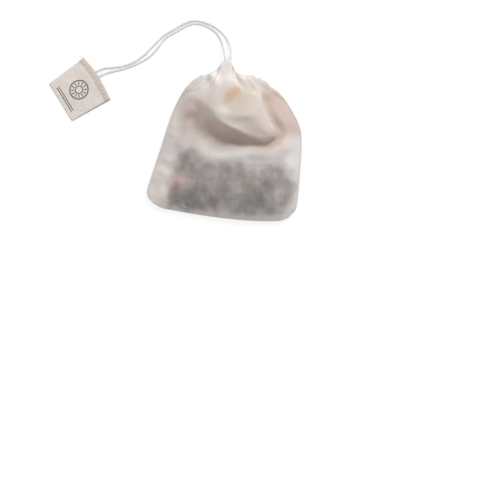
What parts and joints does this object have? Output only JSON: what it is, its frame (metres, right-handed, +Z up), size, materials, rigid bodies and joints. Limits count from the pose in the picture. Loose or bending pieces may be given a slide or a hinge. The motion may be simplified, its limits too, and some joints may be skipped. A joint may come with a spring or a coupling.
{
  "type": "drawstring tea bag",
  "caption": "Muslin drawstring tea bag lying on its back, mouth drawn shut, part filled with leaf tea, with a white cord to a square cotton tag.",
  "frame": {"origin": "on the flat underside, under the middle of the pouch, in the plane the bag lies on", "axes": "+Z up out of the front of the bag, +X to the right of the bag and away from the tag, +Y towards the mouth"},
  "size_m": [0.1262, 0.1009, 0.018],
  "materials": {
    "muslin": "matt, thin, undyed plain weave that light passes through",
    "tea": null,
    "cord": "matt twisted cotton",
    "tag_cloth": "matt unbleached cotton"
  },
  "bodies": {
    "root": {"muslin_pouch": "muslin", "tea_leaves": "tea", "drawstring": "cord", "cotton_tag": "tag_cloth"}
  },
  "joints": []
}
